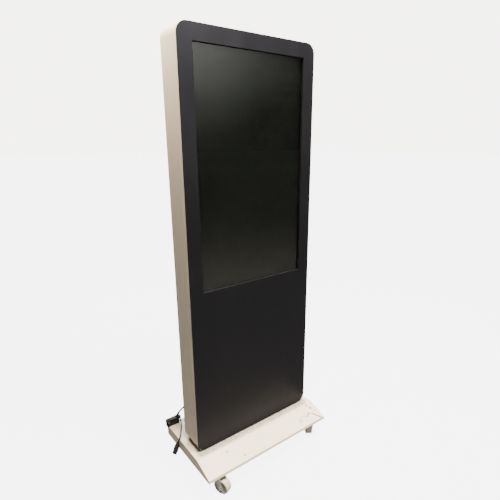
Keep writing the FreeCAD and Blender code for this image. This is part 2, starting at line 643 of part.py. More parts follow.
def build_lock():
    depth = 22.0
    inner_end = SKIN_OUTER - depth
    housing = rod(9.5, depth, (LOCK_X, inner_end, LOCK_Z), Y_AXIS)
    collar = rod(12, 3, (LOCK_X, SKIN_OUTER, LOCK_Z), Y_AXIS)
    bore = rod(6.55, depth + 6, (LOCK_X, inner_end - 1, LOCK_Z), Y_AXIS)
    barrel = rod(6.5, depth + 4, (LOCK_X, inner_end - 1.5, LOCK_Z), Y_AXIS)
    keyway = block(LOCK_X - 0.8, LOCK_X + 0.8, SKIN_OUTER - 6, SKIN_OUTER + 4, LOCK_Z - 4, LOCK_Z + 4)
    cam_plate = block(LOCK_X - 8, LOCK_X + 8, inner_end - 3.5, inner_end - 1.5, LOCK_Z - 26, LOCK_Z + 8)
    cam_step = block(LOCK_X - 8, LOCK_X + 8, inner_end - 3.5, inner_end + 13.5, LOCK_Z - 26, LOCK_Z - 24)
    cam_tip = block(LOCK_X - 8, LOCK_X + 8, inner_end + 11.5, inner_end + 13.5, LOCK_Z - 36, LOCK_Z - 24)
    save("lock_housing", joined([housing, collar]).cut(bore))
    save("lock_barrel", barrel.cut(keyway))
    save("lock_cam", joined([cam_plate, cam_step, cam_tip]))


def hinge_knuckles(middle, offsets, length):
    """Barrel sections of a hinge at the given heights from its middle."""
    return [rod(HINGE_RADIUS, length, (HINGE_X, HINGE_Y, middle + offset - length / 2), Z_AXIS)
            for offset in offsets]


def build_hinges():
    frame_leaves = []
    door_leaves = []
    pins = []
    for middle in HINGE_HEIGHTS:
        knuckles = hinge_knuckles(middle, (-20, 20), 19.6)
        leaf = block(HINGE_X + 1, HINGE_X + 18, SKIN_INNER, SKIN_OUTER, middle - 30, middle + 30)
        webs = [block(HINGE_X + 1, HINGE_X + HINGE_RADIUS, SKIN_OUTER - 0.5, HINGE_Y,
                      middle + offset - 9.8, middle + offset + 9.8) for offset in (-20, 20)]
        frame_leaves.append(joined(knuckles + [leaf] + webs).cut(
            rod(2.0, 80, (HINGE_X, HINGE_Y, middle - 40), Z_AXIS)))
        centre_knuckle = hinge_knuckles(middle, (0,), 19.6)
        door_leaf = block(HINGE_X - 23, HINGE_X - 4.5, SKIN_OUTER, SKIN_OUTER + SHEET, middle - 30, middle + 30)
        door_web = block(HINGE_X - 6, HINGE_X - 1, SKIN_OUTER, SKIN_OUTER + 2.5, middle - 9.8, middle + 9.8)
        door_leaves.append(joined(centre_knuckle + [door_leaf, door_web]).cut(
            rod(2.0 + BEARING_GAP, 80, (HINGE_X, HINGE_Y, middle - 40), Z_AXIS)))
        pins.append(rod(2.0, 60, (HINGE_X, HINGE_Y, middle - 30), Z_AXIS))
    save("hinge_frame_leaves", Part.makeCompound(frame_leaves))
    save("hinge_door_leaves", Part.makeCompound(door_leaves))
    save("hinge_pins", Part.makeCompound(pins))


def build_switch():
    z = SUPPLY_EXIT_Z
    tilt = 8.0
    case = block(SWITCH_X - 9.8, SWITCH_X + 9.8, SKIN_INNER - 16, SKIN_OUTER, z - 13.8, z + 13.8)
    bezel = block(SWITCH_X - 11.5, SWITCH_X + 11.5, SKIN_OUTER, SKIN_OUTER + 2, z - 16, z + 16)
    pocket = block(SWITCH_X - 7, SWITCH_X + 7, SKIN_INNER - 9, SKIN_OUTER + 3, z - 11.5, z + 11.5)
    pivot_y = SKIN_OUTER - 2.0
    pivot = rod(1.5, 16, (SWITCH_X - 8, pivot_y, z), X_AXIS)
    outline = [(pivot_y - 4, z - 6), (pivot_y + 5.4, z - 10.2), (pivot_y + 3.8, z),
               (pivot_y + 5.4, z + 10.2), (pivot_y - 4, z + 6)]
    rocker = prism_along_x(outline, SWITCH_X - 6.5, SWITCH_X + 6.5)
    rocker = rocker.cut(rod(1.5 + BEARING_GAP, 20, (SWITCH_X - 10, pivot_y, z), X_AXIS))
    rocker.rotate(Vector(SWITCH_X, pivot_y, z), X_AXIS, -tilt)
    save("switch_housing", joined([joined([case, bezel]).cut(pocket), pivot]))
    save("switch_rocker", rocker)


# ---- Power adapter, cords and inlet ----

def build_gland():
    z = SUPPLY_EXIT_Z
    tip = REAR + 26.0
    thread = rod(8.0, SKIN_OUTER - SKIN_INNER + 10, (SUPPLY_X, SKIN_INNER - 10, z), Y_AXIS)
    locknut = hexagon(22, 4, (SUPPLY_X, SKIN_INNER - 4, z), Y_AXIS)
    flange = hexagon(22, 5, (SUPPLY_X, SKIN_OUTER, z), Y_AXIS)
    cap = rod(10, 9, (SUPPLY_X, SKIN_OUTER + 5, z), Y_AXIS)
    dome = Part.makeCone(9.5, 5.5, tip - SKIN_OUTER - 14, Vector(SUPPLY_X, SKIN_OUTER + 14, z), Y_AXIS)
    save("cable_gland", joined([thread, locknut, flange, cap, dome]))


def run_direction(start, end):
    """Unit direction from one route point to another."""
    direction = Vector(*end).sub(Vector(*start))
    direction.normalize()
    return direction


def build_adapter():
    case = block(ADAPTER_LEFT, ADAPTER_RIGHT, ADAPTER_FRONT, ADAPTER_REAR, BASE_TOP, BASE_TOP + ADAPTER_HEIGHT)
    case = case.makeFillet(1.5, case.Edges)
    boot_length = 32.0
    outward = run_direction(SUPPLY_ROUTE[-1], SUPPLY_ROUTE[-2])
    boot_root = Vector(*SUPPLY_ROUTE[-1]).sub(outward * boot_length)
    supply_boot = Part.makeCone(8.0, 5.0, boot_length, boot_root, outward).cut(case)
    nose_length = 8.0
    leaving = run_direction(INLET_ROUTE[0], INLET_ROUTE[1])
    nose_root = Vector(*INLET_ROUTE[0]).sub(leaving * nose_length)
    nose = Part.makeCone(5.2, 4.0, nose_length, nose_root, leaving)
    elbow = block(ADAPTER_RIGHT, ADAPTER_RIGHT + 11, ADAPTER_FRONT + 6.5, ADAPTER_FRONT + 18,
                  BASE_TOP + 21, BASE_TOP + 33)
    save("power_adapter", case)
    save("adapter_boots", Part.makeCompound([supply_boot, joined([elbow, nose])]))


def build_inlet():
    length = 60.0
    half_width = 10.5
    half_depth = 8.3
    widest = 11.1
    recess = 14.0
    body = block(-half_width, half_width, -half_depth, half_depth, 0, length)
    long_edges = [edge for edge in body.Edges if abs(edge.tangentAt(edge.FirstParameter).z) > 0.9]
    body = body.makeFillet(6, long_edges)
    relief = Part.makeCone(4.1, widest, 26, Vector(0, 0, 0), Z_AXIS)
    middle = rod(widest, 18, (0, 0, 26), Z_AXIS)
    tail = Part.makeCone(widest, 9.4, length - 44, Vector(0, 0, 44), Z_AXIS)
    shell = body.common(joined([relief, middle, tail]))
    mouth_z = length - recess
    mouth = block(-6.6, 6.6, -5.0, 5.0, mouth_z, length + 1)
    pins = [block(across - 0.8, across + 0.8, along - 1.6, along + 1.6, mouth_z - 4, length - 3)
            for across, along in ((-4.2, -1.5), (0, 1.5), (4.2, -1.5))]
    shell = shell.cut(mouth)
    for pin in pins:
        shell = shell.cut(pin)
    hanging = run_direction(INLET_ROUTE[-2], INLET_ROUTE[-1])
    placement = FreeCAD.Placement(Vector(*INLET_ROUTE[-1]), FreeCAD.Rotation(Z_AXIS, hanging))
    turn = FreeCAD.Placement(Vector(0, 0, 0), FreeCAD.Rotation(Z_AXIS, 36.6))
    for piece in [shell] + pins:
        piece.Placement = placement.multiply(turn)
    save("inlet_connector", shell)
    save("inlet_pins", Part.makeCompound(pins))


def build_cords():
    for name, route, diameter in (("cord_cabinet_to_adapter", SUPPLY_ROUTE, SUPPLY_DIAMETER),
                                  ("cord_adapter_to_inlet", INLET_ROUTE, INLET_DIAMETER)):
        tube, radii, length = swept_cord(route, diameter)
        expected = length * math.pi * diameter ** 2 / 4
        print(name, "length", round(length, 1), "smallest radius", round(min(radii), 1),
              "radii", [round(radius, 1) for radius in radii],
              "volume ratio", round(tube.Volume / expected, 4))
        save(name, tube)


build_base()
build_casters()
build_cabinet()
build_front()
build_display()
build_electronics()
build_fans()
build_rear_covers()
build_door()
build_lock()
build_hinges()
build_switch()
build_gland()
build_adapter()
build_inlet()
build_cords()
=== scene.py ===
import bmesh
import bpy
import json
import math
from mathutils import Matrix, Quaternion, Vector


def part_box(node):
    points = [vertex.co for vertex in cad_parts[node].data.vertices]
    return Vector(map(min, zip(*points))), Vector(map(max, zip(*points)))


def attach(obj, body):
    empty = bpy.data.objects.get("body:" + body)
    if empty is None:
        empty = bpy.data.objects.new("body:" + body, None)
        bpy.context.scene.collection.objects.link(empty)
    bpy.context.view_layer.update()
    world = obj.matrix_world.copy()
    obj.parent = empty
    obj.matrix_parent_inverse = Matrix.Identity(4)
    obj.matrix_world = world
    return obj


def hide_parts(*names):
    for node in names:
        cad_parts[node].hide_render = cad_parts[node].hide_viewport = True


# Floor-standing touchscreen kiosk on casters. Everything is in metres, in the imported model's
# frame: the floor is z = 0, X runs to the right along the screen, and the screen faces -Y.

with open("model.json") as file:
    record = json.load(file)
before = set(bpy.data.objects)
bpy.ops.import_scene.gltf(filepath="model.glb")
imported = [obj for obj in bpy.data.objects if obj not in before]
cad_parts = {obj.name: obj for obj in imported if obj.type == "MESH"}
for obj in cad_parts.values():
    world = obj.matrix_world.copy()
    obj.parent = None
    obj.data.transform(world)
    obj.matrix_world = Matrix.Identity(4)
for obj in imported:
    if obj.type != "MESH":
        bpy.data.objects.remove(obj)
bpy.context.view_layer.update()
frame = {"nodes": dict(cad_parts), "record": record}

# ---- Camera ----

CAMERA_PLACE = Vector((-1.0402, -1.4653, 1.5346))
CAMERA_HEADING = math.radians(37.98)
CAMERA_DIP = math.radians(16.23)
CAMERA_LENS = 29.43
CAMERA_SHIFT = (-0.0276, 0.0146)

# ---- Light ----

ROOM_LIGHT = 0.07
WINDOW_LIGHT = 4.6
WINDOW_PLACE = Vector((0.30, -0.85, 0.42))
WINDOW_REACH = 0.50
FLOOR_ALBEDO = 0.14
FLOOR_GLOW = 6.0
BACKDROP = FLOOR_GLOW + FLOOR_ALBEDO * ROOM_LIGHT

# ---- Sizes that the frame doesn't give ----

SUPPLY_DIAMETER = 0.008
INLET_DIAMETER = 0.0065
BOOT_LENGTH = 0.032
FOLD_RADIUS = 0.0026
CUT_EDGE = 0.0005
SLOPE_RUN = 0.102
SLOPE_DROP = 0.036
INLET_TURN = math.radians(36.6)

SUPPLY_ROUTE = [
    (-0.250, 0.085, 0.358),
    (-0.250, 0.117, 0.358),
    (-0.247, 0.150, 0.333),
    (-0.243, 0.177, 0.292),
    (-0.243, 0.190, 0.254),
    (-0.2513, 0.1938, 0.2329),
    (-0.2661, 0.1914, 0.2208),
    (-0.2845, 0.1909, 0.2141),
    (-0.2923, 0.1910, 0.2038),
]
INLET_ROUTE = [
    (-0.2905, 0.1835, 0.1725),
    (-0.2919, 0.1747, 0.1612),
    (-0.2939, 0.1630, 0.1565),
    (-0.3016, 0.1493, 0.1561),
    (-0.3131, 0.1284, 0.1565),
    (-0.3274, 0.1055, 0.1566),
    (-0.3373, 0.0885, 0.1585),
    (-0.3451, 0.0718, 0.1671),
    (-0.3571, 0.0631, 0.1604),
    (-0.3624, 0.0631, 0.1482),
]

Z_AXIS = Vector((0, 0, 1))


# ---- Node helpers ----

def add_node(tree, kind, inputs=None, **settings):
    """Shader node with its settings, and its inputs set or linked."""
    made = tree.nodes.new(kind)
    for name, value in settings.items():
        setattr(made, name, value)
    for name, value in (inputs or {}).items():
        if isinstance(value, bpy.types.NodeSocket):
            tree.links.new(value, made.inputs[name])
        else:
            made.inputs[name].default_value = value
    return made


def places(tree, stretch=(1, 1, 1), shift=(0, 0, 0)):
    """Object coordinates, which are metres in the model's frame."""
    source = add_node(tree, "ShaderNodeTexCoord").outputs["Object"]
    mapped = add_node(tree, "ShaderNodeMapping", {"Vector": source, "Location": shift, "Scale": stretch})
    return mapped.outputs["Vector"]


def noise(tree, size, detail=2.0, stretch=(1, 1, 1), rough=0.5):
    """Soft noise whose lumps are about size metres across."""
    inputs = {"Vector": places(tree, stretch), "Scale": 1 / size, "Detail": detail, "Roughness": rough}
    return add_node(tree, "ShaderNodeTexNoise", inputs).outputs["Fac"]


def cells(tree, size, output="Distance", feature="F1"):
    """Cell pattern whose cells are about size metres across."""
    inputs = {"Vector": places(tree), "Scale": 1 / size}
    return add_node(tree, "ShaderNodeTexVoronoi", inputs, feature=feature).outputs[output]


def spread(tree, value, start, end, low=0.0, high=1.0):
    """Maps start..end of a value to low..high, and holds it there outside."""
    inputs = {"Value": value, "From Min": start, "From Max": end, "To Min": low, "To Max": high}
    return add_node(tree, "ShaderNodeMapRange", inputs, interpolation_type="SMOOTHSTEP").outputs["Result"]


def combine(tree, operation, first, second):
    """Arithmetic on two values."""
    made = add_node(tree, "ShaderNodeMath", operation=operation)
    for place, value in enumerate((first, second)):
        if isinstance(value, bpy.types.NodeSocket):
            tree.links.new(value, made.inputs[place])
        else:
            made.inputs[place].default_value = value
    return made.outputs["Value"]


def tint(tree, factor, first, second):
    """Colour that goes from first to second as the factor goes from 0 to 1."""
    made = add_node(tree, "ShaderNodeMix", data_type="RGBA")
    tree.links.new(factor, made.inputs["Factor"])
    for place, colour in ((6, first), (7, second)):
        if isinstance(colour, bpy.types.NodeSocket):
            tree.links.new(colour, made.inputs[place])
        else:
            made.inputs[place].default_value = (*colour, 1)
    return made.outputs[2]


def near(tree, centre, radius):
    """1 at a place on the model, fading to 0 at the radius."""
    shift = tuple(-place for place in centre)
    from_centre = add_node(tree, "ShaderNodeVectorMath", {0: places(tree, shift=shift)}, operation="LENGTH")
    return spread(tree, from_centre.outputs["Value"], 0.35 * radius, radius, 1.0, 0.0)


def along_line(tree, start, end, half_width):
    """1 on a straight line between two places on the model, fading to 0 at half its width."""
    start = Vector(start)
    run = Vector(end) - start
    from_start = add_node(tree, "ShaderNodeVectorMath", {0: places(tree), 1: start}, operation="SUBTRACT")
    onto_run = add_node(tree, "ShaderNodeVectorMath",
                        {0: from_start.outputs["Vector"], 1: run / run.length_squared},
                        operation="DOT_PRODUCT")
    share = add_node(tree, "ShaderNodeClamp", {"Value": onto_run.outputs["Value"]}).outputs["Result"]
    nearest = add_node(tree, "ShaderNodeVectorMath", {0: run, "Scale": share}, operation="SCALE")
    away = add_node(tree, "ShaderNodeVectorMath",
                    {0: from_start.outputs["Vector"], 1: nearest.outputs["Vector"]}, operation="DISTANCE")
    return spread(tree, away.outputs["Value"], 0.3 * half_width, half_width, 1.0, 0.0)


def height(tree, low, high):
    """0 below the low level and 1 above the high one."""
    level = add_node(tree, "ShaderNodeSeparateXYZ", {"Vector": places(tree)}).outputs["Z"]
    return spread(tree, level, low, high)


def facing_down(tree):
    """1 where the surface looks at the floor."""
    normal = add_node(tree, "ShaderNodeTexCoord").outputs["Normal"]
    upwards = add_node(tree, "ShaderNodeSeparateXYZ", {"Vector": normal}).outputs["Z"]
    return spread(tree, upwards, -0.95, -0.7, 1.0, 0.0)


def relief(tree, shader, value, depth):
    """Surface relief of the given depth, in metres, for values from 0 to 1."""
    inputs = {"Height": value, "Distance": depth, "Strength": 1.0}
    bump = add_node(tree, "ShaderNodeBump", inputs)
    tree.links.new(bump.outputs["Normal"], shader.inputs["Normal"])


def blank_material(name, roughness=0.5, metallic=0.0):
    """New material with its node tree and its principled shader."""
    material = bpy.data.materials.new(name)
    material.use_nodes = True
    tree = material.node_tree
    shader = tree.nodes["Principled BSDF"]
    shader.inputs["Roughness"].default_value = roughness
    shader.inputs["Metallic"].default_value = metallic
    return material, tree, shader


def feed(tree, shader, colour=None, roughness=None):
    """Link a pattern to the shader's colour or roughness."""
    if colour is not None:
        tree.links.new(colour, shader.inputs["Base Color"])
    if roughness is not None:
        tree.links.new(roughness, shader.inputs["Roughness"])


# ---- Materials ----

# Each colour pattern runs between two linear colours.

def cream_paint():
    """Satin powder coat: slight orange peel, faint mottling, grime mixed with painted shade low down, and
    painted shade on the underside.
    """
    material, tree, shader = blank_material("cream_paint")
    clean = tint(tree, noise(tree, 0.25, 3), (0.66, 0.60, 0.50), (0.70, 0.64, 0.54))
    # Darker low down: painted contact shade in grimy patches, fading out by half a metre up.
    grime_and_low_shade = combine(tree, "MULTIPLY", spread(tree, noise(tree, 0.05, 5), 0.45, 0.75),
                    combine(tree, "SUBTRACT", 1.0, height(tree, 0.16, 0.5)))
    shaded_and_soiled = tint(tree, combine(tree, "MULTIPLY", grime_and_low_shade, 0.35), clean, (0.42, 0.37, 0.29))
    # Near-black on faces that look at the floor: painted shade under things.
    underside_shade = (0.09, 0.09, 0.09)
    feed(tree, shader, tint(tree, facing_down(tree), shaded_and_soiled, underside_shade),
         spread(tree, noise(tree, 0.06, 4), 0.3, 0.7, 0.34, 0.46))
    relief(tree, shader, noise(tree, 0.0016, 2), 0.00005)
    return material


def on_slope(inward, forward):
    """Place on the plinth's slope, so far in from its right end and forward of its upper edge."""
    low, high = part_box("base_cover")
    return Vector((high.x - inward, low.y + SLOPE_RUN - forward,
                   high.z - SLOPE_DROP * forward / SLOPE_RUN))


def base_crack(tree):
    """Hairline crack that wanders across the slope to its right front corner."""
    turns = [on_slope(0.115, 0.048), on_slope(0.085, 0.062), on_slope(0.074, 0.054),
             on_slope(0.064, 0.052), on_slope(0.046, 0.064), on_slope(0.020, 0.099)]
    strengths = (0.35, 0.8, 1.0, 0.6, 1.0)
    half_width = 0.0050
    crack = 0.0
    for start, end, strength in zip(turns, turns[1:], strengths):
        part = combine(tree, "MULTIPLY", along_line(tree, start, end, half_width), strength)
        crack = combine(tree, "MAXIMUM", part, crack)
    return crack


def base_chips(tree):
    """Paint chips and dark spots, most of them round the right front corner."""
    spots = [(on_slope(0.044, 0.011), 0.007, 0.9), (on_slope(0.036, 0.031), 0.009, 1.0),
             (on_slope(0.023, 0.053), 0.006, 0.8), (on_slope(0.018, 0.007), 0.006, 0.7),
             (on_slope(0.135, 0.065), 0.018, 0.3), (on_slope(0.565, 0.026), 0.009, 0.6),
             (on_slope(0.499, 0.078), 0.009, 0.6)]
    chips = 0.0
    for place, radius, strength in spots:
        spot = combine(tree, "MULTIPLY", near(tree, place, radius), strength)
        chips = combine(tree, "MAXIMUM", spot, chips)
    return chips


def panel_foot_shade(tree):
    """Painted shade on the flat top along the foot of the panel, broken into patches."""
    panel_low, panel_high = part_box("front_panel")
    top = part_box("base_cover")[1].z
    foot = panel_low.y - 0.004
    reach = 0.040
    left_end = (panel_low.x + 0.4 * reach, foot, top)
    right_end = (panel_high.x - 0.5 * reach, foot, top)
    strip = along_line(tree, left_end, right_end, reach)
    patches = spread(tree, noise(tree, 0.007, 5, rough=0.7), 0.30, 0.62, 0.25, 1.0)
    return combine(tree, "MULTIPLY", strip, patches)


def under_cabinet_shade(tree):
    """Painted shade under the cabinet's foot and just outside it, in the gap between cabinet and plinth."""
    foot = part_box("foot_plate")[1]
    place = add_node(tree, "ShaderNodeSeparateXYZ", {"Vector": places(tree)})
    beyond_side = combine(tree, "SUBTRACT", combine(tree, "ABSOLUTE", place.outputs["X"], 0.0), foot.x)
    beyond_front = combine(tree, "SUBTRACT", combine(tree, "ABSOLUTE", place.outputs["Y"], 0.0), foot.y)
    beyond = combine(tree, "MAXIMUM", beyond_side, beyond_front)
    return spread(tree, beyond, 0.001, 0.012, 1.0, 0.0)


def base_paint():
    """The plinth's powder coat, walked on and knocked: dust, specks, chips and a crack, with painted shade
    along the panel's foot and under the cabinet.
    """
    material, tree, shader = blank_material("base_paint")
    clean = tint(tree, noise(tree, 0.18, 4), (0.76, 0.68, 0.55), (0.80, 0.72, 0.59))
    dust = spread(tree, noise(tree, 0.035, 6, rough=0.65), 0.5, 0.8)
    worn = tint(tree, combine(tree, "MULTIPLY", dust, 0.3), clean, (0.60, 0.55, 0.46))
    # Painted shade along the panel's foot, in grey.
    worn_and_foot_shaded = tint(tree, combine(tree, "MULTIPLY", panel_foot_shade(tree), 0.9), worn, (0.13, 0.13, 0.115))
    # Olive-dark painted shade in the gap under the cabinet.
    shaded_and_soiled = tint(tree, combine(tree, "MULTIPLY", under_cabinet_shade(tree), 0.85), worn_and_foot_shaded, (0.15, 0.14, 0.11))
    specks = spread(tree, cells(tree, 0.06), 0.02, 0.035, 1.0, 0.0)
    damage = combine(tree, "MAXIMUM", base_crack(tree), base_chips(tree))
    marked = combine(tree, "MAXIMUM", combine(tree, "MULTIPLY", specks, 0.35), damage)
    feed(tree, shader, tint(tree, combine(tree, "MULTIPLY", marked, 0.95), shaded_and_soiled, (0.05, 0.045, 0.04)),
         spread(tree, noise(tree, 0.05, 4), 0.3, 0.7, 0.30, 0.42))
    orange_peel = combine(tree, "MULTIPLY", noise(tree, 0.0016, 2), 0.3)
    relief(tree, shader, combine(tree, "SUBTRACT", orange_peel, damage), 0.00015)
    return material


def black_paint():
    """Fine-textured black powder coat with faint wipe marks."""
    material, tree, shader = blank_material("black_paint")
    shader.inputs["Specular IOR Level"].default_value = 0.175
    shader.inputs["Specular Tint"].default_value = (0.64, 0.72, 1.0, 1)
    feed(tree, shader,
         tint(tree, noise(tree, 0.3, 4), (0.0030, 0.0030, 0.0036), (0.0045, 0.0045, 0.0052)),
         spread(tree, noise(tree, 0.09, 5, stretch=(1, 1, 0.4)), 0.3, 0.7, 0.40, 0.50))
    relief(tree, shader, noise(tree, 0.0012, 2), 0.00003)
    return material


def touch_glass():
    """Clear polished glass, with finger smears that only dull it."""
    material, tree, shader = blank_material("touch_glass")
    shader.inputs["Base Color"].default_value = (0.62, 0.66, 0.66, 1)
    shader.inputs["Transmission Weight"].default_value = 1.0
    shader.inputs["IOR"].default_value = 1.5
    smears = spread(tree, noise(tree, 0.12, 2, stretch=(1, 1, 0.45)), 0.5, 0.75, 0.015, 0.06)
    feed(tree, shader, roughness=smears)
    relief(tree, shader, noise(tree, 0.3, 1), 0.00002)
    return material


def display_cell():
    """Unlit liquid-crystal cell under its polariser."""
    material, tree, shader = blank_material("display_cell")
    shader.inputs["Specular IOR Level"].default_value = 0.05
    feed(tree, shader, tint(tree, noise(tree, 0.2, 2), (0.015, 0.016, 0.014), (0.020, 0.022, 0.019)),
         spread(tree, noise(tree, 0.05, 2), 0.3, 0.7, 0.16, 0.22))
    relief(tree, shader, noise(tree, 0.2, 1), 0.00002)
    return material


def galvanised_steel():
    """Dull zinc spangle on folded sheet."""
    material, tree, shader = blank_material("galvanised_steel", metallic=1.0)
    spangle = cells(tree, 0.009, output="Color")
    value = add_node(tree, "ShaderNodeSeparateColor", {"Color": spangle}).outputs["Red"]
    feed(tree, shader, tint(tree, value, (0.44, 0.45, 0.46), (0.60, 0.61, 0.62)),
         spread(tree, value, 0.0, 1.0, 0.42, 0.55))
    relief(tree, shader, noise(tree, 0.004, 3), 0.00004)
    return material


def zinc_steel():
    """Bright zinc plate with a faint blue and straw passivation."""
    material, tree, shader = blank_material("zinc_steel", metallic=1.0)
    feed(tree, shader, tint(tree, noise(tree, 0.018, 3), (0.55, 0.59, 0.63), (0.68, 0.66, 0.58)),
         spread(tree, noise(tree, 0.006, 4, stretch=(1, 1, 0.3)), 0.3, 0.7, 0.24, 0.42))
    relief(tree, shader, noise(tree, 0.0012, 3), 0.00004)
    return material


def raw_aluminium():
    """Brushed aluminium with a fine grain along X."""
    material, tree, shader = blank_material("raw_aluminium", metallic=1.0)
    grain = noise(tree, 0.0012, 3, stretch=(0.04, 1, 1))
    feed(tree, shader, tint(tree, grain, (0.60, 0.61, 0.63), (0.72, 0.73, 0.75)),
         spread(tree, grain, 0.3, 0.7, 0.3, 0.42))
    relief(tree, shader, grain, 0.00003)
    return material


def moulded_plastic(name, dark, light, shine=0.5):
    """Moulded plastic with an even spark-eroded texture and slight scuffing."""
    material, tree, shader = blank_material(name)
    shader.inputs["Specular IOR Level"].default_value = shine
    feed(tree, shader, tint(tree, noise(tree, 0.02, 4), dark, light),
         spread(tree, noise(tree, 0.012, 4), 0.3, 0.7, 0.42, 0.56))
    relief(tree, shader, noise(tree, 0.0006, 2), 0.00005)
    return material


def black_plastic(name="black_plastic"):
    """Matt black moulding."""
    return moulded_plastic(name, (0.002, 0.002, 0.003), (0.005, 0.005, 0.007), 0.25)


def adapter_plastic(lamp):
    """Black plastic with the pale lens of the indicator lamp."""
    material = black_plastic("adapter_plastic")
    tree = material.node_tree
    shader = tree.nodes["Principled BSDF"]
    plastic = shader.inputs["Base Color"].links[0].from_socket
    feed(tree, shader, tint(tree, near(tree, lamp, 0.0035), plastic, (0.45, 0.52, 0.52)))
    return material


def foam():
    """Closed-cell foam."""
    material, tree, shader = blank_material("foam", roughness=0.9)
    pores = cells(tree, 0.0012)
    feed(tree, shader, tint(tree, pores, (0.02, 0.02, 0.02), (0.06, 0.06, 0.06)),
         spread(tree, pores, 0.0, 1.0, 0.85, 0.98))
    relief(tree, shader, pores, 0.0003)
    return material


def tyre_rubber():
    """Pale soft tyre with blotches of grey dirt."""
    material, tree, shader = blank_material("tyre_rubber")
    dirt = spread(tree, noise(tree, 0.008, 5, rough=0.6), 0.4, 0.75)
    feed(tree, shader, tint(tree, dirt, (0.60, 0.55, 0.46), (0.40, 0.36, 0.29)),
         spread(tree, dirt, 0.0, 1.0, 0.5, 0.7))
    relief(tree, shader, noise(tree, 0.001, 3), 0.0001)
    return material


def cord_rubber():
    """Satin cord jacket."""
    material, tree, shader = blank_material("cord_rubber")
    feed(tree, shader, tint(tree, noise(tree, 0.02, 3), (0.010, 0.0075, 0.0065), (0.018, 0.014, 0.012)),
         spread(tree, noise(tree, 0.004, 3), 0.3, 0.7, 0.36, 0.5))
    relief(tree, shader, noise(tree, 0.0007, 2), 0.00004)
    return material


def circuit_board():
    """Green solder mask with a pattern of tracks."""
    material, tree, shader = blank_material("circuit_board")
    tracks = spread(tree, cells(tree, 0.004, feature="DISTANCE_TO_EDGE"), 0.02, 0.05, 1.0, 0.0)
    feed(tree, shader, tint(tree, tracks, (0.010, 0.085, 0.030), (0.035, 0.20, 0.075)),
         spread(tree, tracks, 0.0, 1.0, 0.35, 0.45))
    relief(tree, shader, tracks, 0.00005)
    return material


def chrome_trim():
    """Polished chrome with fine wear."""
    material, tree, shader = blank_material("chrome_trim", metallic=1.0)
    feed(tree, shader, tint(tree, noise(tree, 0.01, 3), (0.70, 0.71, 0.72), (0.80, 0.80, 0.80)),
         spread(tree, noise(tree, 0.002, 4), 0.3, 0.7, 0.06, 0.16))
    relief(tree, shader, noise(tree, 0.0015, 3), 0.00001)
    return material


def seen_directly(tree):
    """1 for what the camera sees itself and 0 for light that comes by way of a surface."""
    return add_node(tree, "ShaderNodeLightPath").outputs["Is Camera Ray"]


def floor_paper():
    """Pale studio floor, lit through from below like a light table."""
    material, tree, shader = blank_material("floor_paper")
    shader.inputs["Specular IOR Level"].default_value = 0.0
    shader.inputs["Emission Color"].default_value = (1.0, 1.0, 1.0, 1)
    glow = combine(tree, "MULTIPLY", seen_directly(tree), FLOOR_GLOW)
    tree.links.new(glow, shader.inputs["Emission Strength"])
    low = FLOOR_ALBEDO - 0.01
    high = FLOOR_ALBEDO + 0.01
    feed(tree, shader, tint(tree, noise(tree, 0.8, 2), (low, low, low), (high, high, high)),
         spread(tree, noise(tree, 0.1, 3), 0.3, 0.7, 0.7, 0.8))
    relief(tree, shader, noise(tree, 0.002, 2), 0.00005)
    return material


def all_materials():
    """One material for each slot of the record."""
    return {
        "cream_paint": cream_paint(),
        "black_paint": black_paint(),
        "galvanised_steel": galvanised_steel(),
        "zinc_steel": zinc_steel(),
        "raw_aluminium": raw_aluminium(),
        "touch_glass": touch_glass(),
        "display_cell": display_cell(),
        "black_plastic": black_plastic(),
        "grey_plastic": moulded_plastic("grey_plastic", (0.44, 0.45, 0.43), (0.52, 0.53, 0.50)),
        "foam": foam(),
        "tyre_rubber": tyre_rubber(),
        "cord_rubber": cord_rubber(),
        "circuit_board": circuit_board(),
        "chrome_trim": chrome_trim(),
    }


def dress(piece, material):
    """Give every slot of a piece one material."""
    piece.data.materials.clear()
    piece.data.materials.append(material)


def dress_frame(materials):
    """Put the slots' materials on the CAD pieces."""
    for part in frame["record"]["subparts"]:
        dress(frame["nodes"][part["node"]], materials[part["material_slot"]])
    dress(frame["nodes"]["base_cover"], base_paint())


# ---- Mesh helpers ----

def new_piece(name, vertices, faces, material, smooth_below=40):
    """Mesh object with smooth shading across gentle edges."""
    mesh = bpy.data.meshes.new(name)
    mesh.from_pydata(vertices, [], faces)
    mesh.validate()
    mesh.polygons.foreach_set("use_smooth", [True] * len(mesh.polygons))
    mesh.set_sharp_from_angle(angle=math.radians(smooth_below))
    mesh.materials.append(material)
    piece = bpy.data.objects.new(name, mesh)
    bpy.context.scene.collection.objects.link(piece)
    return piece


def settle(piece, body, slot, *nodes):
    """Fix a finished piece to its body, in place of the CAD nodes it stands for."""
    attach(piece, body)
    if nodes:
        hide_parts(*nodes)
    return piece


def skinned(name, stacks, material, smooth_below=40):
    """Closed skins over stacks of rings of points, each capped at both ends."""
    vertices = []
    faces = []
    for rings in stacks:
        first = len(vertices)
        count = len(rings[0])
        vertices += [point for ring in rings for point in ring]
        faces.append([first + step for step in reversed(range(count))])
        for level in range(len(rings) - 1):
            lower = first + level * count
            for step in range(count):
                following = (step + 1) % count
                faces.append([lower + step, lower + following,
                              lower + count + following, lower + count + step])
        last = first + (len(rings) - 1) * count
        faces.append([last + step for step in range(count)])
    return new_piece(name, vertices, faces, material, smooth_below)


def circle(radius, level, sides=24):
    """Level ring of points about Z."""
    angles = [math.tau * step / sides for step in range(sides)]
    return [(radius * math.cos(angle), radius * math.sin(angle), level) for angle in angles]


def rounded_outline(half_width, half_depth, radius, steps=5):
    """Rectangle with round corners, as 2D points in order."""
    points = []
    for quarter in range(4):
        across = 1 if quarter in (0, 3) else -1
        along = 1 if quarter in (0, 1) else -1
        for step in range(steps + 1):
            angle = math.pi / 2 * (quarter + step / steps)
            points.append((across * (half_width - radius) + radius * math.cos(angle),
                           along * (half_depth - radius) + radius * math.sin(angle)))
    return points


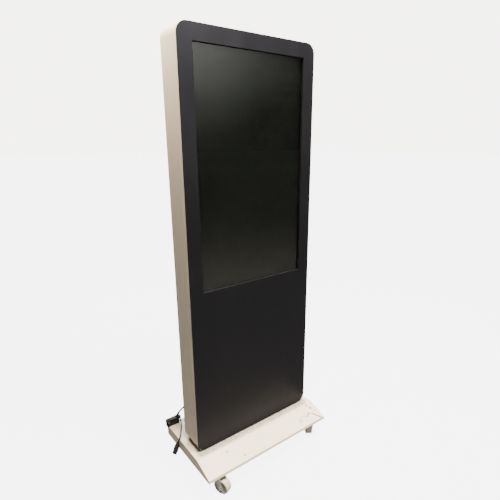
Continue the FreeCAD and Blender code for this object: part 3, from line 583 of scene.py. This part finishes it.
def finished_copy(node, slot, body, material, radius, chosen=None, steps=3, sharper_than=30):
    """A CAD piece with its chosen sharp edges rounded, in that piece's place."""
    source = frame["nodes"][node].data
    work = bmesh.new()
    corners = [work.verts.new(vertex.co) for vertex in source.vertices]
    for polygon in source.polygons:
        try:
            work.faces.new([corners[place] for place in polygon.vertices])
        except ValueError:
            continue
    bmesh.ops.remove_doubles(work, verts=work.verts, dist=0.000002)
    bmesh.ops.dissolve_limit(work, angle_limit=math.radians(0.5), verts=work.verts, edges=work.edges)
    sharp = [edge for edge in work.edges
             if len(edge.link_faces) == 2
             and edge.calc_face_angle(0) > math.radians(sharper_than)
             and (chosen is None or chosen(edge))]
    bmesh.ops.bevel(work, geom=sharp, offset=radius, segments=steps, profile=0.5, affect="EDGES",
                    clamp_overlap=True)
    mesh = bpy.data.meshes.new(node + "_finished")
    work.to_mesh(mesh)
    work.free()
    mesh.polygons.foreach_set("use_smooth", [True] * len(mesh.polygons))
    mesh.set_sharp_from_angle(angle=math.radians(40))
    mesh.materials.append(material)
    piece = bpy.data.objects.new(node + "_finished", mesh)
    bpy.context.scene.collection.objects.link(piece)
    piece.modifiers.new("even_normals", "WEIGHTED_NORMAL").keep_sharp = True
    return settle(piece, body, slot, node)


# ---- Cords and what is on them ----

def lay_cord(name, route, diameter, material):
    """Round cord on one smooth line through its route."""
    curve = bpy.data.curves.new(name, "CURVE")
    curve.dimensions = "3D"
    curve.bevel_depth = diameter / 2
    curve.bevel_resolution = 5
    curve.resolution_u = 16
    curve.use_fill_caps = True
    line = curve.splines.new("NURBS")
    line.points.add(len(route) - 1)
    for point, place in zip(line.points, route):
        point.co = (*place, 1)
    line.order_u = 3
    line.use_endpoint_u = True
    curve.materials.append(material)
    cord = bpy.data.objects.new(name, curve)
    bpy.context.scene.collection.objects.link(cord)
    return cord


def oriented(rings, origin, turn):
    """Turn rings drawn about Z and move them to their origin."""
    return [[origin + turn @ Vector(point) for point in ring] for ring in rings]


def inlet_outline(level, length):
    """Half width and half depth of the inlet's body at a share of its length."""
    half_width = 0.0122
    half_depth = 0.0092
    narrow = 0.0041
    if level < 0.42 * length:
        swell = math.sin(level / (0.42 * length) * math.pi / 2) ** 1.3
        return narrow + (half_width - narrow) * swell, narrow + (half_depth - narrow) * swell
    taper = 0.16 * ((level - 0.42 * length) / (0.58 * length)) ** 2
    return half_width * (1 - taper), half_depth * (1 - taper)


def inlet_connector(materials):
    """Moulded inlet: ribbed relief that swells into a rounded body with an open mouth."""
    length = 0.060
    relief_length = 0.020
    recess = 0.014
    wall = 0.0026
    along = Vector(INLET_ROUTE[-1]) - Vector(INLET_ROUTE[-2])
    turn = Z_AXIS.rotation_difference(along.normalized()) @ Quaternion(Z_AXIS, INLET_TURN)
    rings = []

    def ring(level, inset=0.0):
        width, depth = inlet_outline(level, length)
        corner = 0.72 * (min(width, depth) - inset)
        rings.append([(x, y, level) for x, y in rounded_outline(width - inset, depth - inset, corner)])

    ribs = 5
    for rib in range(ribs):
        start = relief_length * rib / ribs
        for share, inset in ((0.0, 0.0), (0.55, 0.0), (0.62, 0.0007), (0.95, 0.0007)):
            ring(start + share * relief_length / ribs, inset)
    steps = 16
    for step in range(steps):
        ring(relief_length + (length - 0.002 - relief_length) * step / (steps - 1))
    for back, inset in ((0.0009, 0.0002), (0.0003, 0.0007), (0.0, 0.0013)):
        ring(length - back, inset)
    mouth = []
    for back, inset in ((0.0, wall - 0.0004), (0.0005, wall), (recess, wall)):
        width, depth = inlet_outline(length, length)
        corner = 0.5 * (depth - inset)
        outline = rounded_outline(width - inset, depth - inset, corner)
        mouth.append([(x, y, length - back) for x, y in outline])
    stack = oriented(rings + mouth, Vector(INLET_ROUTE[-1]), turn)
    return skinned("inlet_body", [stack], materials["cord_rubber"], 50)


def ribbed_boot(start, direction, length, wide, narrow, ribs):
    """Rings of a tapered strain relief with a rib at each step, from the housing outwards."""
    rings = []
    for rib in range(ribs):
        base = length * rib / ribs
        radius = wide + (narrow - wide) * rib / (ribs - 1)
        for share, drop in ((0.0, 0.0), (0.55, 0.0001), (0.62, 0.0008), (0.95, 0.0008)):
            rings.append(circle(radius - drop, base + share * length / ribs))
    rings.append(circle(narrow, length))
    return oriented(rings, start, Z_AXIS.rotation_difference(direction))


def adapter_boots(materials):
    """Ribbed boot of the supply cord, and the elbow with its nose where the inlet's cord leaves."""
    low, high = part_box("power_adapter")
    supply_tip = Vector(SUPPLY_ROUTE[-1])
    outward = (Vector(SUPPLY_ROUTE[-2]) - supply_tip).normalized()
    boot = ribbed_boot(supply_tip - BOOT_LENGTH * outward, outward, BOOT_LENGTH, 0.0080, 0.0050, 8)
    nose_tip = Vector(INLET_ROUTE[0])
    leaving = (Vector(INLET_ROUTE[1]) - nose_tip).normalized()
    nose_length = 0.008
    nose_rings = [circle(0.0052, 0.0), circle(0.0050, 0.004), circle(0.0043, 0.0043),
                  circle(0.0042, 0.0055), circle(0.0046, 0.0058), circle(0.0041, nose_length)]
    nose = oriented(nose_rings, nose_tip - nose_length * leaving, Z_AXIS.rotation_difference(leaving))
    half_width = 0.0055
    half_depth = 0.00575
    centre = Vector((high.x + half_width, low.y + 0.01225, 0))
    edge = 0.0012
    bottom = low.z + 0.021
    top = low.z + 0.033
    levels = [(bottom, edge), (bottom + edge, 0.0), (top - edge, 0.0), (top, edge)]
    elbow = [[(centre.x + x, centre.y + y, level)
              for x, y in rounded_outline(half_width - inset, half_depth - inset, 0.0015)]
             for level, inset in levels]
    boots = skinned("boots", [boot, nose, elbow], materials["cord_rubber"], 30)
    settle(boots, "cabinet", "cord_rubber", "adapter_boots")


def build_cords(materials):
    """Both cords, with the inlet that hangs on the second."""
    supply = lay_cord("supply_cord", SUPPLY_ROUTE, SUPPLY_DIAMETER, materials["cord_rubber"])
    settle(supply, "cabinet", "cord_rubber", "cord_cabinet_to_adapter")
    inlet = lay_cord("inlet_cord", INLET_ROUTE, INLET_DIAMETER, materials["cord_rubber"])
    settle(inlet, "cabinet", "cord_rubber", "cord_adapter_to_inlet")
    connector = settle(inlet_connector(materials), "cabinet", "cord_rubber", "inlet_connector")


def power_adapter():
    """Two-part moulded case with a parting line, soft corners and an indicator lamp."""
    low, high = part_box("power_adapter")
    centre = (low + high) / 2
    half_width = (high.x - low.x) / 2
    half_depth = (high.y - low.y) / 2
    corner = 0.0035
    edge = 0.0022
    seam = centre.z + 0.0015
    levels = [(low.z, edge), (low.z + 0.3 * edge, 0.3 * edge), (low.z + edge, 0.0), (seam - 0.0004, 0.0),
              (seam - 0.0003, 0.0005), (seam + 0.0003, 0.0005), (seam + 0.0004, 0.0),
              (high.z - edge, 0.0), (high.z - 0.3 * edge, 0.3 * edge), (high.z, edge)]
    rings = [[(centre.x + x, centre.y + y, level)
              for x, y in rounded_outline(half_width - inset, half_depth - inset, corner)]
             for level, inset in levels]
    lamp = Vector((low.x + 0.008, low.y, high.z - 0.012))
    lens = oriented([circle(0.0020, -0.0010, 16), circle(0.0020, 0.0002, 16), circle(0.0014, 0.0006, 16)],
                    lamp, Z_AXIS.rotation_difference(Vector((0, -1, 0))))
    case = skinned("adapter_case", [rings, lens], adapter_plastic(lamp), 35)
    return settle(case, "cabinet", "black_plastic", "power_adapter")


# ---- Sheet-metal pieces ----

def on_outside_of_base(edge):
    """True for the plinth's outer folds, and not for its rim or its inside."""
    low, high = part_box("base_cover")
    inset = 0.0005
    middle = (edge.verts[0].co + edge.verts[1].co) / 2
    at_side = abs(middle.x) > high.x - inset
    at_end = middle.y < low.y + inset or middle.y > high.y - inset
    at_top = middle.z > high.z - inset
    level = abs(edge.verts[0].co.z - edge.verts[1].co.z) < 0.0001
    at_rim = level and middle.z < low.z + inset
    in_middle = abs(middle.x) < 0.27 and abs(middle.y) < 0.1
    return (at_side or at_end or at_top) and not at_rim and not in_middle


def build_sheet_metal(materials):
    """Rounded folds and cut edges on the pieces that show."""
    base = frame["nodes"]["base_cover"].data.materials[0]
    finished_copy("base_cover", "cream_paint", "cabinet", base, FOLD_RADIUS, on_outside_of_base, 4, 12)
    finished_copy("front_panel", "black_paint", "cabinet", materials["black_paint"], CUT_EDGE)
    finished_copy("rear_door", "cream_paint", "door", materials["cream_paint"], 0.0003)


# ---- Studio ----

def build_floor():
    """Pale floor, far larger than the object."""
    reach = 40.0
    corners = [(-reach, -reach, 0), (reach, -reach, 0), (reach, reach, 0), (-reach, reach, 0)]
    floor = new_piece("studio_floor", corners, [[0, 1, 2, 3]], floor_paper())


def soft_light(name, place, target, width, depth, power, colour):
    """Rectangular soft light that faces a target."""
    lamp = bpy.data.lights.new(name, "AREA")
    lamp.shape = "RECTANGLE"
    lamp.size = width
    lamp.size_y = depth
    lamp.energy = power
    lamp.color = colour
    light = bpy.data.objects.new(name, lamp)
    light.location = place
    light.rotation_mode = "QUATERNION"
    light.rotation_quaternion = (Vector(target) - Vector(place)).to_track_quat("-Z", "Y")
    bpy.context.scene.collection.objects.link(light)


def build_lights():
    """Dim surroundings with one soft window, a pale backdrop, and soft lights on every side."""
    world = bpy.data.worlds.new("studio")
    world.use_nodes = True
    tree = world.node_tree
    background = tree.nodes["Background"]
    background.inputs["Color"].default_value = (1.0, 0.97, 0.92, 1)
    heading = add_node(tree, "ShaderNodeTexCoord").outputs["Generated"]
    from_window = add_node(tree, "ShaderNodeVectorMath", {0: heading, 1: WINDOW_PLACE},
                           operation="DISTANCE")
    window = spread(tree, from_window.outputs["Value"], 0.0, WINDOW_REACH, WINDOW_LIGHT, 0.0)
    upwards = add_node(tree, "ShaderNodeSeparateXYZ", {"Vector": heading}).outputs["Z"]
    room = spread(tree, upwards, 0.0, 0.4, 0.25 * ROOM_LIGHT, ROOM_LIGHT)
    surroundings = combine(tree, "ADD", window, room)
    backdrop = combine(tree, "MULTIPLY", seen_directly(tree), BACKDROP)
    tree.links.new(combine(tree, "MAXIMUM", surroundings, backdrop), background.inputs["Strength"])
    bpy.context.scene.world = world
    soft_light("light_left", (-0.62, 0.12, 2.22), (-0.33, 0.0, 1.95), 0.3, 0.3, 14, (1.0, 0.85, 0.66))
    soft_light("light_back", (1.3, 2.7, 2.3), (0, 0, 1.0), 1.2, 1.2, 105, (1.0, 0.96, 0.91))
    soft_light("light_right", (2.3, 0.8, 2.2), (0.33, 0, 1.0), 1.0, 1.2, 38, (1.0, 0.96, 0.91))
    soft_light("light_above", (0.1, -1.1, 3.4), (0.05, -0.25, 0.1), 1.6, 0.8, 610, (1.0, 0.89, 0.74))


def build_camera():
    """Camera out beyond the left front corner, above the middle of the object and dipped."""
    lens = bpy.data.cameras.new("camera")
    lens.lens = CAMERA_LENS
    lens.shift_x, lens.shift_y = CAMERA_SHIFT
    lens.clip_start = 0.05
    lens.clip_end = 200
    camera = bpy.data.objects.new("camera", lens)
    level = math.cos(CAMERA_DIP)
    ahead = Vector((math.sin(CAMERA_HEADING) * level, math.cos(CAMERA_HEADING) * level,
                    -math.sin(CAMERA_DIP)))
    camera.location = CAMERA_PLACE
    camera.rotation_mode = "QUATERNION"
    camera.rotation_quaternion = ahead.to_track_quat("-Z", "Y")
    bpy.context.scene.collection.objects.link(camera)
    bpy.context.scene.camera = camera


materials = all_materials()
dress_frame(materials)
build_cords(materials)
power_adapter()
adapter_boots(materials)
build_sheet_metal(materials)
build_floor()
build_lights()
build_camera()
